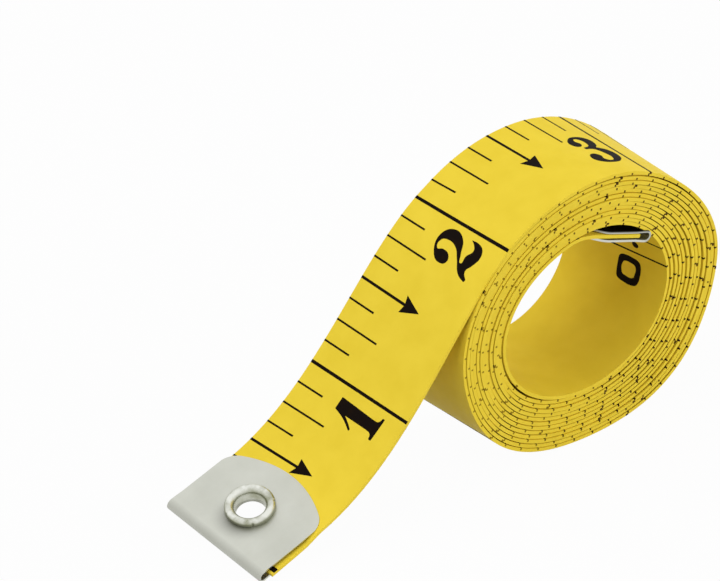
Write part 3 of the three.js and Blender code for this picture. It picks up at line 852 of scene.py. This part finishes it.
def folded_tip(name, place, side_length, bow, leaf_half, fold_half, eyelet_hole):
    """The blank cut, folded, given its thickness and broken edges, and put in its place."""
    half_sheet = SHEET / 2
    bend = fold_half - half_sheet
    quarter = bend * pi / 2
    across = [TIP_WIDTH / 2 * sin(pi * (i / BOW_STEPS - 0.5)) for i in range(BOW_STEPS + 1)]
    outline = [(False, quarter + leaf_end(y, side_length, bow) - fold_half, y) for y in across]
    outline += [(False, -a, y) for _, a, y in reversed(outline)]
    loops = [outline]
    hole_y = EYELET_PLACE.y - LEAF_MIDDLE
    if eyelet_hole:
        ring = [2 * pi * k / HOLE_STEPS for k in range(HOLE_STEPS)]
        for side in (1.0, -1.0):
            at = side * (quarter + EYELET_PLACE.x - fold_half)
            loops.append([
                (True, at + EYELET_HOLE * cos(k), hole_y + EYELET_HOLE * sin(k)) for k in ring])
    blank = filled(loops)
    scored(blank, 0, SCORE_ALONG)
    scored(blank, 1, SCORE_ACROSS)
    for v in blank.verts:
        a, y = v.co.x, v.co.y
        side = 1.0 if a >= 0 else -1.0
        if abs(a) <= quarter:
            v.co = (fold_half - bend * cos(a / bend), y, bend * sin(a / bend))
            continue
        u = fold_half + abs(a) - quarter
        z = leaf_half - half_sheet
        z += (fold_half - leaf_half) * (1.0 - smooth((u - fold_half) / FOLD_TAPER))
        if eyelet_hole:
            away = hypot(u - EYELET_PLACE.x, y - hole_y)
            z -= DIMPLE * (1.0 - smooth((away - DIMPLE_FLOOR) / (DIMPLE_RIM - DIMPLE_FLOOR)))
        v.co = (u, y, side * z)
    bmesh.ops.recalc_face_normals(blank, faces=blank.faces)
    tip = laid_flat(name, [blank])
    wall = tip.modifiers.new("sheet", "SOLIDIFY")
    wall.thickness = SHEET * MM
    wall.offset = 0.0
    wall.use_even_offset = True
    edge = tip.modifiers.new("broken_edges", "BEVEL")
    edge.width = BROKEN_EDGE * MM
    edge.segments = 2
    edge.limit_method = "ANGLE"
    edge.angle_limit = BROKEN_EDGE_ANGLE
    made = worked_in(tip)
    from_fold = made.attributes.new("from_fold", "FLOAT", "POINT")
    # Painted shade: the rear tip's upper face is made nearly black where the turn above shades it,
    # and the front tip is darkened beside the eyelet where the ring shades it.
    shade_layer = made.attributes.new("blackened", "FLOAT", "POINT")
    for i, v in enumerate(made.vertices):
        from_fold.data[i].value = v.co.x / MM
        in_gap_shade = not eyelet_hole and v.co.z > (leaf_half - SHADED_FACE_SKIN) * MM
        from_eyelet_shade = (v.co.xy / MM - EYELET_SHADE_PLACE).length if eyelet_hole else EYELET_SHADE_REACH
        shade_layer.data[i].value = 1.0 if in_gap_shade else EYELET_PAINTED_SHADE * smooth(1.0 - from_eyelet_shade / EYELET_SHADE_REACH)
    made.transform(place)
    made.materials.append(nickelled)
    made.shade_smooth()
    made.set_sharp_from_angle(angle=SHEET_EDGE_ANGLE)
    return tip


leaf_middle = Matrix.Translation((0.0, LEAF_MIDDLE * MM, 0.0))
front_place = Matrix.Translation(TIP_FOLD * MM) @ tip_turn.to_4x4()
front_tip = folded_tip(
    "folded_front_tip", front_place @ leaf_middle,
    TIP_SIDE, TIP_BOW, LEAF_HALF, FOLD_HALF, eyelet_hole=True)
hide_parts("front_tip")
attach(front_tip, "tip_end")

# Eyelet: a bright nickelled tube pushed through tip and tape, with a flange
# below; its upper end is rolled outwards over the tip and splits as it spreads.
BARREL, BARREL_WALL = 2.0, 0.25
CURL_CREST, CURL_INNER, CURL_OUTER = 2.85, 0.85, 0.47
CURL_HEIGHT, CURL_FUNNEL = 0.56, 0.35
CURL_TUCK = radians(40.0)
SEAT, SEAT_GAP = LEAF_HALF - DIMPLE, 0.02
FLANGE_OUTER, FLANGE_BOTTOM, FLANGE_CHAMFER = 3.1, 1.0, (0.15, 0.12)
LOWER_MOUTH = (0.35, 0.3)
# Each split's place round the eyelet in degrees, and how deep it cuts.
SPLITS = ((-37.0, 0.3), (-126.0, 0.36), (160.0, 0.14), (99.0, 0.12), (57.0, 0.2), (5.0, 0.1))
SPLIT_HALF_WIDTH = radians(4.0)
SPLIT_GROWTH, SPLIT_DELAY = 1.8, 0.45
# Painted light on the eyelet: these are the least shares of the painted highlight, one on the
# inner funnel and one on the outer flank and flange.
FUNNEL_PAINTED_LIGHT, FLANK_PAINTED_LIGHT = 0.4, 0.2
CURL_STEPS = 24
EYELET_STEPS = 360
EYELET_EDGE_ANGLE = radians(50)

# The nickel's tones run from painted shade at the foot and flanks to a painted highlight on top of
# the rolled rim, broken up by a random tarnish.
BRIGHT_IN_PAINTED_SHADE = (0.33, 0.34, 0.24)
BRIGHT_IN_PAINTED_LIGHT = (0.82, 0.83, 0.77)
bright, tree, shader = finish_of("bright_nickel")
tarnish = noise(tree, in_place(tree), scale=600.0)
painted_light_and_tarnish = times(carried(tree, "crest")["Fac"], spread(tree, tarnish, low=-0.6, high=2.2))
feed(shader, {
    "Base Color": ramp(tree, painted_light_and_tarnish, BRIGHT_IN_PAINTED_SHADE, BRIGHT_IN_PAINTED_LIGHT, start=0.1, end=1.0),
    "Roughness": spread(tree, tarnish, low=0.22, high=0.4),
    "Normal": raised(tree, tarnish, strength=0.1, relief=0.05),
    "Metallic": 1.0,
})

curl_height = SEAT + CURL_HEIGHT * sin(CURL_TUCK)
section = []
for k in range(CURL_STEPS + 1):
    turned = pi - (pi + CURL_TUCK) * k / CURL_STEPS
    share = smooth(SPLIT_GROWTH * k / CURL_STEPS - SPLIT_DELAY)
    if turned > pi / 2:
        funnel = (CURL_HEIGHT + CURL_FUNNEL) * sin(turned) - CURL_FUNNEL
        section.append((CURL_INNER * cos(turned), funnel, share))
    else:
        section.append((CURL_OUTER * cos(turned), CURL_HEIGHT * sin(turned), share))
shank = BARREL + BARREL_WALL
seated = SEAT + SEAT_GAP
below = [
    (shank, seated),
    (shank, -seated),
    (FLANGE_OUTER, -seated),
    (FLANGE_OUTER, -FLANGE_BOTTOM + FLANGE_CHAMFER[1]),
    (FLANGE_OUTER - FLANGE_CHAMFER[0], -FLANGE_BOTTOM),
    (BARREL + LOWER_MOUTH[0], -FLANGE_BOTTOM),
    (BARREL, -FLANGE_BOTTOM + LOWER_MOUTH[1]),
]
ring = bmesh.new()
painted_light_of = ring.verts.layers.float.new("crest")
loops = []
for step in range(EYELET_STEPS):
    angle = 2 * pi * step / EYELET_STEPS
    cut = 0.0
    for at, depth in SPLITS:
        away = abs((angle - radians(at) + pi) % (2 * pi) - pi)
        cut = max(cut, depth * max(0.0, 1.0 - away / SPLIT_HALF_WIDTH))
    outline = []
    for out, up, share in section:
        kept = 1.0 - cut * share
        outline.append((CURL_CREST + out * kept, curl_height + (up * kept if up > 0 else up)))
    loop = []
    for radius, height in outline + below:
        place = EYELET_PLACE + Vector((radius * cos(angle), radius * sin(angle), height))
        vert = ring.verts.new(place * MM)
        # Painted highlight by height: the top of the rolled rim is lightest and the funnel and
        # flank are darker.
        least_painted_light = FUNNEL_PAINTED_LIGHT if radius < CURL_CREST else FLANK_PAINTED_LIGHT
        vert[painted_light_of] = max(least_painted_light, (height - curl_height) / CURL_HEIGHT)
        loop.append(vert)
    loops.append(loop)
for this, following in zip(loops, loops[1:] + loops[:1]):
    for i in range(len(this)):
        j = (i + 1) % len(this)
        ring.faces.new((this[i], this[j], following[j], following[i]))
bmesh.ops.recalc_face_normals(ring, faces=ring.faces)
eyelet_mesh = bpy.data.meshes.new("rolled_eyelet")
ring.to_mesh(eyelet_mesh)
ring.free()
eyelet_mesh.transform(front_place)
eyelet_mesh.materials.append(bright)
eyelet_mesh.shade_smooth()
eyelet_mesh.set_sharp_from_angle(angle=EYELET_EDGE_ANGLE)
eyelet = bpy.data.objects.new("rolled_eyelet", eyelet_mesh)
scene.collection.objects.link(eyelet)
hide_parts("eyelet")
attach(eyelet, "tip_end")

# Rear tip: the same folded blank without an eyelet, pinched on the inner end
# of the tape, its fold towards the right of the bore.
REAR_LEAF_HALF, REAR_FOLD_HALF = 0.74, 0.84
REAR_SIDE, REAR_BOW = 9.0, 4.2
REAR_SHIFT = -0.45
rear_turn = Matrix.Rotation(REAR_SLOPE, 4, "Y") @ Matrix.Rotation(pi, 4, "Z")
rear_place = Matrix.Translation((REAR_FOLD + ACROSS * REAR_SHIFT) * MM) @ rear_turn
rear_tip = folded_tip(
    "folded_rear_tip", rear_place,
    REAR_SIDE, REAR_BOW, REAR_LEAF_HALF, REAR_FOLD_HALF, eyelet_hole=False)
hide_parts("rear_tip")
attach(rear_tip, "tail_end")

# Floor and light: a plain white table, a large soft lamp overhead and a weaker
# one from the front right, under an even white sky.
WHITE = (1.0, 1.0, 1.0, 1.0)
FLOOR_GREY = (0.55, 0.55, 0.55, 1.0)
FLOOR_HALF, FLOOR_LEVEL = 3.0, -2e-5
FLOOR_GLOW = 0.97
SKY_LEVEL = 0.16
LAMP_AIM = Vector((0.0, 0.0, 0.02))
# Name, place and size in metres, power in watts.
LAMPS = (
    ("lamp_overhead", Vector((-0.4, 0.2, 0.8)), 1.3, 10.6),
    ("lamp_from_front_right", Vector((0.6, -0.75, 0.22)), 0.4, 6.2),
)


def seen_directly(tree):
    """1 for rays from the camera, or by way of metal or glass."""
    ray = add(tree, "ShaderNodeLightPath").outputs
    seen = reckon("MAXIMUM", ray["Is Camera Ray"], ray["Is Glossy Ray"])
    return reckon("MAXIMUM", seen, ray["Is Transmission Ray"])


floor_paint, tree, shader = finish_of("white_table")
tree.nodes.remove(shader)
matt = add(tree, "ShaderNodeBsdfDiffuse", {"Color": FLOOR_GREY}).outputs[0]
glow = add(tree, "ShaderNodeEmission", {"Color": WHITE, "Strength": 1.0}).outputs[0]
share = times(seen_directly(tree), FLOOR_GLOW)
surface = add(tree, "ShaderNodeMixShader", {0: share, 1: matt, 2: glow}).outputs[0]
feed(tree.nodes["Material Output"], {"Surface": surface})
floor_mesh = bpy.data.meshes.new("table")
sides = ((-1, -1), (1, -1), (1, 1), (-1, 1))
corners = [(x * FLOOR_HALF, y * FLOOR_HALF, FLOOR_LEVEL) for x, y in sides]
floor_mesh.from_pydata(corners, [], [(0, 1, 2, 3)])
floor_mesh.materials.append(floor_paint)
floor = bpy.data.objects.new("table", floor_mesh)
scene.collection.objects.link(floor)

sky = bpy.data.worlds.new("white_sky")
sky.use_nodes = True
tree = sky.node_tree
dim = tree.nodes["Background"]
feed(dim, {"Color": WHITE, "Strength": SKY_LEVEL})
clear = add(tree, "ShaderNodeBackground", {"Color": WHITE, "Strength": 1.0}).outputs[0]
share = seen_directly(tree)
surface = add(tree, "ShaderNodeMixShader", {0: share, 1: dim.outputs[0], 2: clear}).outputs[0]
feed(tree.nodes["World Output"], {"Surface": surface})
scene.world = sky

for name, place, size, power in LAMPS:
    lamp = bpy.data.lights.new(name, "AREA")
    lamp.size = size
    lamp.energy = power
    holder = bpy.data.objects.new(name, lamp)
    holder.location = place
    holder.visible_glossy = False
    holder.rotation_euler = (LAMP_AIM - place).to_track_quat("-Z", "Y").to_euler()
    scene.collection.objects.link(holder)
